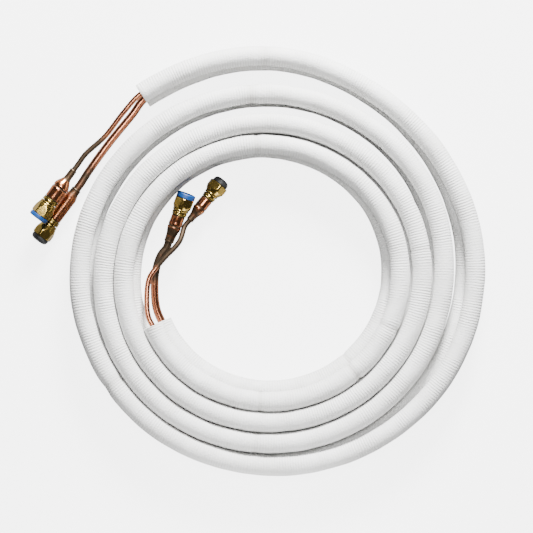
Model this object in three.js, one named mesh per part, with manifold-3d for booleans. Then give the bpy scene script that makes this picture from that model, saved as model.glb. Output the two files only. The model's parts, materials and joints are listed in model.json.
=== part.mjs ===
// A mini split line set: two soft copper refrigerant lines, each in its own foam sleeve, wound as one
// flat coil of almost four turns, with a pre-charged brass coupling and a plastic cap on each end.
// Millimetres, +Z up. The coil lies on the floor at Z = 0, and its winding axis is the frame's Z axis
// until the finished group is centred at the end.
import * as THREE from "three";
import { mergeVertices } from "three/addons/utils/BufferGeometryUtils.js";
import Module from "manifold-3d";

const wasm = await Module();
wasm.setup();

const { degToRad, smoothstep } = THREE.MathUtils;
const UP = new THREE.Vector3(0, 0, 1);

// Sections of the lines and their sleeves
const suctionDiameter = 9.52;
const liquidDiameter = 6.35;
const copperWall = 0.8;
const sleeveDiameter = 24;
const sleeveBoreClearance = 0.5;
const contactGap = 0.4;
const copperSides = 10;
const copperBoreSides = 6;
const sleeveSides = 16;

// Winding of the suction sleeve, which lies on the floor. Angles are in degrees, anticlockwise from +X,
// and run on from turn to turn.
const sleeveStart = 206;
const sleeveEnd = 1566.8;
const stationAngle = 15;
const firstTurnRadius = 144;
const turnGap = 2.2;
const turnPitch = sleeveDiameter + turnGap;
const stepOutStart = 410;
const stepOutSpan = 190;
const ovalness = 4.2;
const ovalDirection = 228;
const flattening = 1.1;

// How far the last turns have sprung open, every 30 degrees from looseFrom
const looseFrom = 1050;
const looseEvery = 30;
const looseness = [0, 0.5, 7, 9.5, 9, 6.5, 4.5, 2, 0, 0, 0, 2, 7, 10, 13, 19, 26, 23, 20];

// How far the liquid sleeve leans outwards over the suction sleeve, one row a turn, every 60 degrees
// from leanFrom
const leanFrom = 180;
const leanEvery = 60;
const lean = [
  [9.5, 12.2, 12, 9.3, 4.2, 3.3],
  [7, 10.6, 10.4, 9.3, 4.4, 1.5],
  [5.4, 9, 9.4, 8.4, 1.5, 3.4],
  [5.6, 7.3, 12, 9.7, 2.5, 4.8, 6],
].flat();

// The couplings' common sizes
const hexAcrossFlats = 22;
const nutMaxRadius = 12.3;
const nutMouthRadius = 11.4;
const nutChamfer = 1.2;
const nutHexLength = 7.5;
const hexCutOver = 2;
const nutCavityRadius = 9.3;
const nutCavityDepth = 10.5;
const nutRearStep = 0.5;
const swivelClearance = 0.6;
const swivelLip = 2;
const neckInset = 2.6;
const adapterWall = 1;
const spigotLength = 5;
const brazeClearance = 0.4;
const shoulderBulge = 0.88;
const shoulderBulgeAt = 0.3;
const plugLength = 4;
const capEdgeRound = 1.6;
const roundSides = 16;
const nutSides = 24;
const floorClearance = 1.5;
const restHeight = nutMaxRadius + floorClearance;

// The inner pair of couplings is placed from a point on the first turn's centre line, at this angle, and the
// outer pair from the outer end of the suction sleeve
const innerPlacingAngle = 150;

// Each coupling: where the front face of its nut is from that point, how much higher than one that rests on
// the floor, which way it points, and its own lengths
const couplings = {
  outer_liquid: {
    lineDiameter: liquidDiameter,
    x: -123.38,
    y: -139.68,
    lift: 17.8,
    heading: 233.1,
    rise: 0,
    hexTurn: 30,
    nutLength: 17.5,
    collarLength: 5,
    collarRadius: 9.8,
    barrelRadius: 9.4,
    barrelLength: 15.5,
    shoulderLength: 15.5,
    cupRadius: 4.3,
    cupLength: 12,
    capRadius: 11.7,
    capLength: 5.3,
  },
  outer_suction: {
    lineDiameter: suctionDiameter,
    x: -123.88,
    y: -164.88,
    lift: 0,
    heading: 233.1,
    rise: 0,
    hexTurn: 12,
    nutLength: 18.5,
    collarLength: 6,
    collarRadius: 9,
    barrelRadius: 8,
    barrelLength: 33,
    shoulderLength: 6,
    cupRadius: 5.9,
    cupLength: 6,
    capRadius: 10.9,
    capLength: 7,
  },
  inner_suction: {
    lineDiameter: suctionDiameter,
    x: 21.25,
    y: 10.8,
    lift: 8.7,
    heading: 69,
    rise: 6,
    hexTurn: 0,
    nutLength: 16.5,
    collarLength: 4.5,
    collarRadius: 9,
    barrelRadius: 8,
    barrelLength: 14.5,
    shoulderLength: 13,
    cupRadius: 5.9,
    cupLength: 6,
    capRadius: 11.3,
    capLength: 6.3,
  },
  inner_liquid: {
    lineDiameter: liquidDiameter,
    x: 61.71,
    y: 27.8,
    lift: 0.2,
    heading: 50.5,
    rise: -3,
    hexTurn: 15,
    nutLength: 16.5,
    collarLength: 5,
    collarRadius: 8.2,
    barrelRadius: 7.3,
    barrelLength: 15.5,
    shoulderLength: 12,
    cupRadius: 4.5,
    cupLength: 6,
    capRadius: 9.9,
    capLength: 7.6,
  },
};

// The bare copper between a coupling and its sleeve. Each point is given from the middle of the nut's face,
// or from the centre of the sleeve's cut end.
const tailLead = 8;
const tailStepsPerSpan = 2;
const tails = {
  outer_liquid: {
    fromNut: [
      { x: 54, y: 72, z: 0.8 },
      { x: 77, y: 92.8, z: 2.2 },
    ],
    fromSleeve: [{ x: -20.6, y: -21.7, z: -0.48 }],
  },
  outer_suction: {
    fromNut: [
      { x: 56.9, y: 78, z: -0.4 },
      { x: 81.2, y: 111.6, z: -1.2 },
    ],
    fromSleeve: [{ x: -15.38, y: -19.68, z: 0.21 }],
  },
  inner_suction: {
    fromNut: [
      { x: -29.3, y: -67.4, z: -7.3 },
      { x: -35.2, y: -85.2, z: -9.1 },
    ],
    fromSleeve: [
      { x: -8.66, y: 39.16, z: 0.71 },
      { x: -6.46, y: 16.16, z: 0.11 },
    ],
  },
  inner_liquid: {
    fromNut: [
      { x: -47.4, y: -68.6, z: 9.4 },
      { x: -64.5, y: -87.4, z: 10.5 },
      { x: -75, y: -99.8, z: 10.2 },
      { x: -83, y: -112.4, z: 12.5 },
    ],
    fromSleeve: [
      { x: -7.5, y: 30.82, z: -3.55 },
      { x: -5.3, y: 10.82, z: -0.75 },
    ],
  },
};

const copper = new THREE.MeshStandardMaterial({ color: 0x8f5a3c, roughness: 0.42, metalness: 1 });
const brass = new THREE.MeshStandardMaterial({ color: 0x9a8440, roughness: 0.35, metalness: 1 });
const foam = new THREE.MeshStandardMaterial({ color: 0xe9e9e7, roughness: 0.85, metalness: 0 });
const bluePlastic = new THREE.MeshStandardMaterial({ color: 0x0059a0, roughness: 0.4, metalness: 0 });
const greyPlastic = new THREE.MeshStandardMaterial({ color: 0x4a4b4e, roughness: 0.5, metalness: 0 });

// A route given as stations, whose sections stay level across the way that it runs
class LevelRoute extends THREE.Curve {
  constructor(stations) {
    super();
    this.stations = stations;
  }

  getSpacedPoints() {
    return this.stations.map((station) => station.point);
  }

  computeFrenetFrames() {
    const tangents = this.stations.map((station) => station.tangent);
    const normals = tangents.map((tangent) => UP.clone().addScaledVector(tangent, -tangent.dot(UP)).normalize());
    const binormals = tangents.map((tangent, i) => tangent.clone().cross(normals[i]));
    return { tangents, normals, binormals };
  }
}

// A regular polygon with a flat side at the bottom
function ringOutline(radius, sides) {
  return Array.from({ length: sides }, (_, i) => {
    const angle = ((i + 0.5) * 2 * Math.PI) / sides;
    return new THREE.Vector2(radius * Math.cos(angle), radius * Math.sin(angle));
  });
}

// A pipe along stations, open from end to end
function pipeAlong(stations, outerRadius, outerSides, boreRadius, boreSides) {
  const section = new THREE.Shape(ringOutline(outerRadius, outerSides));
  section.holes.push(new THREE.Path(ringOutline(boreRadius, boreSides)));
  return new THREE.ExtrudeGeometry(section, {
    steps: stations.length - 1,
    extrudePath: new LevelRoute(stations),
  });
}

// The value at an angle of a list that is keyed at even angles
function keyedValue(list, from, every, angle) {
  const line = new THREE.SplineCurve(list.map((value, i) => new THREE.Vector2(i, value)));
  const share = (angle - from) / (every * (list.length - 1));
  return share < 0 ? list[0] : line.getPoint(share).y;
}

// The radius of the suction sleeve's centre line: a turn keeps its radius, then steps out by one pitch
// where it passes the inner end
function suctionRadius(angle) {
  const turns = (angle - stepOutStart) / 360;
  const whole = Math.floor(turns);
  const step = whole + smoothstep((turns - whole) * 360, 0, stepOutSpan);
  const oval = ovalness * Math.cos(degToRad(angle - ovalDirection));
  const flat = flattening * Math.cos(degToRad(2 * angle));
  return firstTurnRadius + turnPitch * step + oval + flat + keyedValue(looseness, looseFrom, looseEvery, angle);
}

// The centre of either sleeve at an angle
function sleevePoint(line, angle) {
  const inscribed = (sleeveDiameter / 2) * Math.cos(Math.PI / sleeveSides);
  const spread = sleeveDiameter + contactGap;
  const leaning = line === "liquid" ? keyedValue(lean, leanFrom, leanEvery, angle) : 0;
  const height = line === "liquid" ? inscribed + Math.sqrt(spread ** 2 - leaning ** 2) : inscribed;
  const radius = suctionRadius(angle) + leaning;
  return new THREE.Vector3(radius * Math.cos(degToRad(angle)), radius * Math.sin(degToRad(angle)), height);
}

function sleeveStation(line, angle) {
  const halfStep = 0.5;
  const ahead = sleevePoint(line, angle + halfStep);
  const behind = sleevePoint(line, angle - halfStep);
  return { point: sleevePoint(line, angle), tangent: ahead.sub(behind).normalize() };
}

function coilStations(line) {
  const angles = [sleeveStart];
  const firstWhole = Math.ceil((sleeveStart + 1) / stationAngle) * stationAngle;
  for (let angle = firstWhole; angle < sleeveEnd - 1; angle += stationAngle) {
    angles.push(angle);
  }
  angles.push(sleeveEnd);
  return angles.map((angle) => sleeveStation(line, angle));
}

function isInner(name) {
  return name.startsWith("inner");
}

// The middle of the front face of a coupling's nut
function couplingFace(name) {
  const coupling = couplings[name];
  const placing = degToRad(innerPlacingAngle);
  const from = isInner(name)
    ? new THREE.Vector3(firstTurnRadius * Math.cos(placing), firstTurnRadius * Math.sin(placing), 0)
    : sleevePoint("suction", sleeveEnd);
  return new THREE.Vector3(from.x + coupling.x, from.y + coupling.y, restHeight + coupling.lift);
}

// The direction in which a coupling points
function couplingAxis(coupling) {
  const heading = degToRad(coupling.heading);
  const rise = degToRad(coupling.rise);
  return new THREE.Vector3(
    Math.cos(rise) * Math.cos(heading),
    Math.cos(rise) * Math.sin(heading),
    Math.sin(rise),
  );
}

// Distances behind the nut's front face
function couplingLengths(coupling) {
  const collarFront = coupling.nutLength + swivelClearance;
  const collarRear = collarFront + coupling.collarLength;
  const barrelFront = collarRear + brazeClearance;
  const shoulderFront = barrelFront + coupling.barrelLength;
  const cupFront = shoulderFront + coupling.shoulderLength;
  return { collarFront, collarRear, barrelFront, shoulderFront, cupFront, cupRear: cupFront + coupling.cupLength };
}

// The stations of a bare tail, from the tip in the coupling's cup to just short of the sleeve's end
function tailStations(name, line) {
  const coupling = couplings[name];
  const face = couplingFace(name);
  const axis = couplingAxis(coupling);
  const { cupFront, cupRear } = couplingLengths(coupling);
  const behind = (distance) => face.clone().addScaledVector(axis, -distance);
  const towardsCoil = axis.clone().negate();
  const sleeveAngle = isInner(name) ? sleeveStart : sleeveEnd;
  const nextAngle = isInner(name) ? sleeveStart + stationAngle : sleeveEnd - stationAngle;
  const cutEnd = sleevePoint(line, sleeveAngle);
  const guide = [
    behind(cupRear),
    behind(cupRear + tailLead),
    ...tails[name].fromNut.map((point) => face.clone().add(point)),
    ...tails[name].fromSleeve.map((point) => cutEnd.clone().add(point)),
    cutEnd,
    sleevePoint(line, nextAngle),
  ];
  const curve = new THREE.CatmullRomCurve3(guide, false, "centripetal");
  const spans = guide.length - 1;
  const stations = [
    { point: behind(cupFront), tangent: towardsCoil },
    { point: behind(cupRear), tangent: towardsCoil },
  ];
  for (let step = tailStepsPerSpan; step < (spans - 1) * tailStepsPerSpan; step += 1) {
    const share = step / (spans * tailStepsPerSpan);
    stations.push({ point: curve.getPoint(share), tangent: curve.getTangent(share) });
  }
  return stations;
}

function reversed(stations) {
  return stations.map(({ point, tangent }) => ({ point, tangent: tangent.clone().negate() })).reverse();
}

// A copper line: the inner tail, the coil inside the sleeve, and the outer tail
function copperLine(line, diameter) {
  const innerTail = tailStations(`inner_${line}`, line);
  const outerTail = tailStations(`outer_${line}`, line);
  const stations = [...innerTail, ...coilStations(line), ...reversed(outerTail)];
  return pipeAlong(stations, diameter / 2, copperSides, diameter / 2 - copperWall, copperBoreSides);
}

function foamSleeve(line, lineDiameter) {
  const boreRadius = lineDiameter / 2 + sleeveBoreClearance;
  return pipeAlong(coilStations(line), sleeveDiameter / 2, sleeveSides, boreRadius, copperSides);
}

// A turned piece about Y, from its outline as [radius, distance behind the nut's face]
function turned(outline, sides) {
  const points = outline.map(([radius, behind]) => new THREE.Vector2(radius, -behind));
  return new THREE.LatheGeometry(points, sides);
}

// The spun copper adapter between the line and the brass: barrel, shoulder and cup
function adapter(coupling) {
  const at = couplingLengths(coupling);
  const cupBore = coupling.lineDiameter / 2 + brazeClearance;
  const barrelBore = coupling.barrelRadius - adapterWall;
  const bulgeFront = at.shoulderFront + coupling.shoulderLength * shoulderBulgeAt;
  const bulgeRadius = coupling.cupRadius + (coupling.barrelRadius - coupling.cupRadius) * shoulderBulge;
  return turned(
    [
      [cupBore, at.cupRear],
      [coupling.cupRadius, at.cupRear],
      [coupling.cupRadius, at.cupFront],
      [bulgeRadius, bulgeFront],
      [coupling.barrelRadius, at.shoulderFront],
      [coupling.barrelRadius, at.barrelFront],
      [barrelBore, at.barrelFront],
      [barrelBore, at.shoulderFront],
      [cupBore, at.cupFront],
      [cupBore, at.cupRear],
    ],
    roundSides,
  );
}

// The brass coupling body: spigot in the adapter, collar, and the neck that the nut turns on
function couplingBody(coupling) {
  const at = couplingLengths(coupling);
  const neck = coupling.collarRadius - neckInset;
  const spigot = coupling.barrelRadius - adapterWall - brazeClearance;
  const bore = coupling.lineDiameter / 2;
  const flange = nutCavityRadius - swivelClearance;
  const flangeRear = nutCavityDepth - swivelClearance;
  return turned(
    [
      [bore, at.collarRear + spigotLength],
      [spigot, at.collarRear + spigotLength],
      [spigot, at.collarRear],
      [coupling.collarRadius, at.collarRear],
      [coupling.collarRadius, at.collarFront],
      [neck, at.collarFront],
      [neck, flangeRear],
      [flange, flangeRear],
      [flange, flangeRear - swivelLip],
      [bore, flangeRear - swivelLip],
      [bore, at.collarRear + spigotLength],
    ],
    roundSides,
  );
}

function manifoldOf(geometry) {
  const bare = geometry.clone().deleteAttribute("normal").deleteAttribute("uv");
  const merged = mergeVertices(bare, 1e-3);
  return new wasm.Manifold(
    new wasm.Mesh({
      numProp: 3,
      vertProperties: merged.attributes.position.array,
      triVerts: new Uint32Array(merged.index.array),
    }),
  );
}

function geometryOf(solid) {
  const mesh = solid.getMesh();
  const geometry = new THREE.BufferGeometry()
    .setAttribute("position", new THREE.BufferAttribute(mesh.vertProperties, 3))
    .setIndex(new THREE.BufferAttribute(mesh.triVerts, 1))
    .toNonIndexed();
  geometry.computeVertexNormals();
  return geometry;
}

// The brass union nut: a hexagon at the mouth that tapers to a round rear, hollow for its thread
function unionNut(coupling) {
  const rearRadius = coupling.collarRadius + nutRearStep;
  const lipBore = coupling.collarRadius - neckInset + swivelClearance;
  const round = turned(
    [
      [lipBore, coupling.nutLength],
      [rearRadius, coupling.nutLength],
      [nutMaxRadius, nutHexLength],
      [nutMaxRadius, nutChamfer],
      [nutMouthRadius, 0],
      [nutCavityRadius, 0],
      [nutCavityRadius, nutCavityDepth],
      [lipBore, nutCavityDepth],
      [lipBore, coupling.nutLength],
    ],
    nutSides,
  );
  const hexRadius = hexAcrossFlats / 2 / Math.cos(Math.PI / 6);
  const hexLength = 2 * (coupling.nutLength + hexCutOver);
  const hexagon = new THREE.CylinderGeometry(hexRadius, hexRadius, hexLength, 6);
  hexagon.rotateY(degToRad(coupling.hexTurn));
  return geometryOf(manifoldOf(round).intersect(manifoldOf(hexagon)));
}

// The plastic cap: a round head against the nut's mouth and a plug inside it
function endCap(coupling) {
  const plugRadius = nutCavityRadius - contactGap;
  return turned(
    [
      [0, plugLength],
      [plugRadius, plugLength],
      [plugRadius, -contactGap],
      [coupling.capRadius, -contactGap],
      [coupling.capRadius, -coupling.capLength + capEdgeRound],
      [coupling.capRadius - capEdgeRound, -coupling.capLength],
      [0, -coupling.capLength],
    ],
    roundSides,
  );
}

function addMesh(parent, name, geometry, material) {
  const mesh = new THREE.Mesh(geometry, material);
  mesh.name = name;
  parent.add(mesh);
}

const lineSet = new THREE.Group();
addMesh(lineSet, "suction_line_tube", copperLine("suction", suctionDiameter), copper);
addMesh(lineSet, "liquid_line_tube", copperLine("liquid", liquidDiameter), copper);
addMesh(lineSet, "suction_line_insulation", foamSleeve("suction", suctionDiameter), foam);
addMesh(lineSet, "liquid_line_insulation", foamSleeve("liquid", liquidDiameter), foam);

const capMaterials = {
  outer_liquid: bluePlastic,
  outer_suction: greyPlastic,
  inner_suction: bluePlastic,
  inner_liquid: greyPlastic,
};
for (const [name, coupling] of Object.entries(couplings)) {
  const place = new THREE.Group();
  place.position.copy(couplingFace(name));
  place.quaternion.setFromUnitVectors(new THREE.Vector3(0, 1, 0), couplingAxis(coupling));
  addMesh(place, `${name}_adapter`, adapter(coupling), copper);
  addMesh(place, `${name}_coupling_body`, couplingBody(coupling), brass);
  addMesh(place, `${name}_union_nut`, unionNut(coupling), brass);
  addMesh(place, `${name}_cap`, endCap(coupling), capMaterials[name]);
  lineSet.add(place);
}

// The frame's origin is the middle of the finished set's footprint, on the floor
lineSet.updateMatrixWorld(true);
const bounds = new THREE.Box3().setFromObject(lineSet, true);
const middle = bounds.getCenter(new THREE.Vector3());
lineSet.position.set(-middle.x, -middle.y, -bounds.min.z);

export default lineSet;
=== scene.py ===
"""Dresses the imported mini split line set: foam sleeves, copper lines, brass couplings and caps.

The coil is worked out in millimetres about its own axis, with angles in degrees, and each finished mesh is
moved into the frame's metres. A pattern that follows a surface reads the attribute "straight": the place
that a point would have if its piece were straightened along the local Z axis.
"""

from __future__ import annotations

import json
import logging
import math
from dataclasses import dataclass
from enum import Enum
from typing import Any, Iterable, Sequence

import bmesh
import bpy
import numpy as np
from bpy.types import Material, Mesh, Node, NodeSocket, NodeTree, Object
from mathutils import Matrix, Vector

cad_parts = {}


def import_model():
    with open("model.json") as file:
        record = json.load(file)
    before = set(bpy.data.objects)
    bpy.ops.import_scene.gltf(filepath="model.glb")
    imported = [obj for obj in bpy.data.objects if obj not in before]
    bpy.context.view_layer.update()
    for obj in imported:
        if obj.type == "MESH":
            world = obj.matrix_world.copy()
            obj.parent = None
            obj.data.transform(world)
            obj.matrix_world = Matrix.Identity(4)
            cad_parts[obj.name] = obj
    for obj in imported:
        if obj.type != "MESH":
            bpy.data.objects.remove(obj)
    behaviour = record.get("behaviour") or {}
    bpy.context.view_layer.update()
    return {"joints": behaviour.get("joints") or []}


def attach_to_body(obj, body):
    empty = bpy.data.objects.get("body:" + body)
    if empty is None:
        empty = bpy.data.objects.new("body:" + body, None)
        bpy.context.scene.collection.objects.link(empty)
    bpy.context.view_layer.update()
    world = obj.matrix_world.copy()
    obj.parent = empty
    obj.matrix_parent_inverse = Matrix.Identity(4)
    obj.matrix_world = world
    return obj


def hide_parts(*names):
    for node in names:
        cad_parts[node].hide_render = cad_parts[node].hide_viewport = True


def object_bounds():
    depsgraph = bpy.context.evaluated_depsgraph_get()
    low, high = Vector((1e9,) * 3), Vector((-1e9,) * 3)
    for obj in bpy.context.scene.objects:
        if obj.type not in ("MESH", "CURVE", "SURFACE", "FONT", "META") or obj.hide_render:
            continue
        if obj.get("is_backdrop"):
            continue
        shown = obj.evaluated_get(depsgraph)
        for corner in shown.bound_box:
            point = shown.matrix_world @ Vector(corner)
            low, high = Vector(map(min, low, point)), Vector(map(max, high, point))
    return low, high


LOG = logging.getLogger("line_set")
MM = 0.001
STRAIGHT = "straight"
TARNISH = "tarnish"
CREASE = "crease"
AXIS_TOLERANCE = 1e-6
FILLET_LIMIT = 0.45
OUTER_FACE_FROM_SLEEVE = (-123.38, -139.68)
RGBA = tuple[float, float, float, float]


class Line(Enum):
    """The two refrigerant lines, by the first word of their nodes' names."""

    SUCTION = "suction"
    LIQUID = "liquid"


class End(Enum):
    """The four ends of the lines, as the frame's nodes name them."""

    OUTER_LIQUID = "outer_liquid"
    OUTER_SUCTION = "outer_suction"
    INNER_SUCTION = "inner_suction"
    INNER_LIQUID = "inner_liquid"

    @property
    def line(self) -> Line:
        """The line that this is an end of."""
        return Line(self.value.split("_")[1])


class CapStyle(Enum):
    """The two kinds of plastic cap, by the record's material slot."""

    BLUE = "blue_plastic"
    GREY = "grey_plastic"


class NodeSheet:
    """A node tree that is filled in by name, for Geometry Nodes and materials alike."""

    def __init__(self, tree: NodeTree) -> None:
        """Starts on a tree.

        Args:
            tree: The tree to fill, without nodes of its own.
        """
        self.tree = tree

    def add(self, kind: str, inputs: dict[Any, Any] | None = None, **settings: Any) -> Node:
        """Adds a node, with its settings and inputs.

        Args:
            kind: The node's Blender type.
            inputs: A value or another node's output for each input, by name or place.
            settings: The node's own properties.

        Returns:
            The new node.
        """
        node = self.tree.nodes.new(kind)
        for name, value in settings.items():
            setattr(node, name, value)
        self.fill(node, inputs or {})
        return node

    def fill(self, node: Node, inputs: dict[Any, Any]) -> None:
        """Gives a node its inputs.

        Args:
            node: The node.
            inputs: A value or another node's output for each input, by name or place.
        """
        for key, value in inputs.items():
            if isinstance(value, NodeSocket):
                self.tree.links.new(value, node.inputs[key])
            else:
                node.inputs[key].default_value = value

    def math(self, operation: str, *values: Any, clamp: bool = False) -> NodeSocket:
        """A Math node's result.

        Args:
            operation: The node's operation.
            values: Numbers or outputs, in the order of its inputs.
            clamp: Whether the result stays between 0 and 1.

        Returns:
            The node's output.
        """
        node = self.add("ShaderNodeMath", dict(enumerate(values)), operation=operation, use_clamp=clamp)
        return node.outputs[0]

    def vector(self, operation: str, *values: Any) -> NodeSocket:
        """A Vector Math node's result.

        Args:
            operation: The node's operation.
            values: Vectors, numbers or outputs, in the order of its inputs.

        Returns:
            The node's output.
        """
        node = self.add("ShaderNodeVectorMath", dict(enumerate(values)), operation=operation)
        return node.outputs["Vector"]

    def ramp(self, value: Any, low: float, high: float, to_low: float, to_high: float) -> NodeSocket:
        """A value taken smoothly from one range to another.

        Args:
            value: The output to map.
            low: The value that gives to_low.
            high: The value that gives to_high.
            to_low: The result's start.
            to_high: The result's end.

        Returns:
            The mapped output.
        """
        inputs = {"Value": value, "From Min": low, "From Max": high, "To Min": to_low, "To Max": to_high}
        return self.add("ShaderNodeMapRange", inputs, interpolation_type="SMOOTHSTEP").outputs["Result"]

    def noise(self, place: Any, scale: Any, detail: float = 3.0, roughness: float = 0.55) -> NodeSocket:
        """A noise value at a place.

        Args:
            place: The output that gives the place.
            scale: Lumps to a metre.
            detail: How many finer layers it has.
            roughness: How strong the finer layers are.

        Returns:
            The noise, about 0.5.
        """
        inputs = {"Vector": place, "Scale": scale, "Detail": detail, "Roughness": roughness}
        return self.add("ShaderNodeTexNoise", inputs).outputs[0]

    def mix(self, share: Any, first: Any, second: Any, blend: str = "MIX") -> NodeSocket:
        """Two colours mixed.

        Args:
            share: How much of the second colour there is.
            first: The first colour.
            second: The second colour.
            blend: The way of mixing.

        Returns:
            The mixed colour.
        """
        inputs = {0: share, 6: first, 7: second}
        node = self.add("ShaderNodeMix", inputs, data_type="RGBA", blend_type=blend)
        return node.outputs[2]


def start_tree(
    name: str,
    given: Iterable[tuple[str, str]],
    made: Iterable[tuple[str, str]],
    kind: str = "ShaderNodeTree",
) -> tuple[NodeSheet, Any, Node]:
    """Starts a node group.

    Args:
        name: The group's name.
        given: The name and type of each input.
        made: The name and type of each output.
        kind: The kind of tree.

    Returns:
        The sheet to fill, the group's inputs and its output node.
    """
    tree = bpy.data.node_groups.new(name, kind)
    for names, way in ((given, "INPUT"), (made, "OUTPUT")):
        for label, socket in names:
            tree.interface.new_socket(label, in_out=way, socket_type=f"NodeSocket{socket}")
    sheet = NodeSheet(tree)
    return sheet, sheet.add("NodeGroupInput").outputs, sheet.add("NodeGroupOutput")


def shown(name: str, data: Any) -> Object:
    """A new object in the scene.

    Args:
        name: Its name.
        data: Its mesh, light or camera.

    Returns:
        The object.
    """
    made = bpy.data.objects.new(name, data)
    bpy.context.scene.collection.objects.link(made)
    return made


def written(shaped: bmesh.types.BMesh, mesh: Mesh) -> Mesh:
    """Writes a shaped piece into its mesh, smooth and with its faces outwards.

    Args:
        shaped: The piece, which is freed.
        mesh: The mesh to fill.

    Returns:
        The same mesh.
    """
    bmesh.ops.recalc_face_normals(shaped, faces=shaped.faces)
    for polygon in shaped.faces:
        polygon.smooth = True
    shaped.to_mesh(mesh)
    shaped.free()
    return mesh


def eased(share: Any) -> Any:
    """A share from 0 to 1, or an array of them, that starts and ends gently.

    Args:
        share: The even share.

    Returns:
        The eased share.
    """
    return share * share * (3 - 2 * share)


def runs(items: Sequence[Any], closed: bool) -> list[tuple[Any, Any]]:
    """Each item with the one after it.

    Args:
        items: Knots or rings, in order.
        closed: Whether the last one joins the first.

    Returns:
        The pairs.
    """
    pairs = list(zip(items, items[1:]))
    if closed:
        pairs.append((items[-1], items[0]))
    return pairs


def spline_point(knots: Sequence[np.ndarray], gaps: Sequence[float], share: float) -> np.ndarray:
    """A point on a Catmull-Rom spline, between the second and third of four knots.

    Args:
        knots: The four knots.
        gaps: The knot distances between them.
        share: How far along the middle span the point is, from 0 to 1.

    Returns:
        The point.
    """
    before, start, end, after = knots
    first, middle, last = gaps
    middle_slope = (end - start) / middle
    leave = middle * ((start - before) / first - (end - before) / (first + middle) + middle_slope)
    arrive = middle * (middle_slope - (after - start) / (middle + last) + (after - end) / last)
    cubic = 2 * start - 2 * end + leave + arrive
    square = -3 * start + 3 * end - 2 * leave - arrive
    return ((cubic * share + square) * share + leave) * share + start


@dataclass(frozen=True)
class EvenKeys:
    """Values keyed at even angles and joined by a smooth line."""

    start: float
    every: float
    values: tuple[float, ...]

    def at(self, angle: float) -> float:
        """The value at an angle.

        Args:
            angle: Degrees, run on from turn to turn.

        Returns:
            The keyed value, which is the first one before the start.
        """
        place = (angle - self.start) / self.every
        if place < 0:
            return self.values[0]
        last = len(self.values) - 1
        index = min(int(place), last - 1)
        picks = [min(max(index + step, 0), last) for step in (-1, 0, 1, 2)]
        return float(spline_point([self.values[pick] for pick in picks], (1, 1, 1), place - index))


def guided_curve(guide: np.ndarray, per_span: int) -> np.ndarray:
    """A smooth curve through guide points, as far as the last but one.

    Args:
        guide: The points, one a row.
        per_span: How many points the curve has to a span.

    Returns:
        The curve's points.
    """
    ends = [2 * guide[0] - guide[1], *guide, 2 * guide[-1] - guide[-2]]
    points = []
    for index in range(len(guide) - 2):
        knots = ends[index : index + 4]
        gaps = [math.sqrt(float(np.linalg.norm(b - a))) for a, b in zip(knots, knots[1:])]
        points += [spline_point(knots, gaps, step / per_span) for step in range(per_span)]
    points.append(guide[-2])
    return np.array(points)


@dataclass(frozen=True)
class Winding:
    """How the two sleeves are wound: the suction sleeve on the floor and the liquid sleeve upon it."""

    sleeve_diameter: float = 24.0
    contact_gap: float = 0.4
    sleeve_start: float = 206.0
    sleeve_end: float = 1566.8
    first_turn_radius: float = 144.0
    turn_gap: float = 2.2
    step_out_start: float = 410.0
    step_out_span: float = 190.0
    ovalness: float = 4.2
    oval_direction: float = 228.0
    flattening: float = 1.1
    rest_height: float = 11.769
    looseness: EvenKeys = EvenKeys(
        1050.0, 30.0, (0, 0.5, 7, 9.5, 9, 6.5, 4.5, 2, 0, 0, 0, 2, 7, 10, 13, 19, 26, 23, 20)
    )
    lean: EvenKeys = EvenKeys(
        180.0, 60.0,
        (9.5, 12.2, 12, 9.3, 4.2, 3.3)
        + (7, 10.6, 10.4, 9.3, 4.4, 1.5)
        + (5.4, 9, 9.4, 8.4, 1.5, 3.4)
        + (5.6, 7.3, 12, 9.7, 2.5, 4.8, 6),
    )

    def suction_radius(self, angle: float) -> float:
        """The radius of the suction sleeve's centre line.

        Args:
            angle: Degrees, run on from turn to turn.

        Returns:
            The radius in millimetres.
        """
        turns = (angle - self.step_out_start) / 360
        whole = math.floor(turns)
        stepped = min((turns - whole) * 360 / self.step_out_span, 1)
        step = whole + eased(stepped)
        oval = self.ovalness * math.cos(math.radians(angle - self.oval_direction))
        flat = self.flattening * math.cos(math.radians(2 * angle))
        pitch = self.sleeve_diameter + self.turn_gap
        return self.first_turn_radius + pitch * step + oval + flat + self.looseness.at(angle)

    def sleeve_point(self, line: Line, angle: float) -> np.ndarray:
        """The centre of a sleeve.

        Args:
            line: Whose sleeve it is.
            angle: Degrees, run on from turn to turn.

        Returns:
            The point about the coil's axis, in millimetres.
        """
        radius = self.suction_radius(angle)
        height = self.rest_height
        if line is Line.LIQUID:
            lean = self.lean.at(angle)
            spread = self.sleeve_diameter + self.contact_gap
            radius += lean
            height += math.sqrt(spread**2 - lean**2)
        turn = math.radians(angle)
        return np.array((radius * math.cos(turn), radius * math.sin(turn), height))

    def sleeve_route(self, line: Line, every: float) -> tuple[np.ndarray, np.ndarray]:
        """A sleeve's whole centre line.

        Args:
            line: Whose sleeve it is.
            every: Degrees between points, about.

        Returns:
            The angles and the points, from the inner end to the outer.
        """
        count = round((self.sleeve_end - self.sleeve_start) / every)
        angles = np.linspace(self.sleeve_start, self.sleeve_end, count + 1)
        return angles, np.array([self.sleeve_point(line, angle) for angle in angles])


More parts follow.
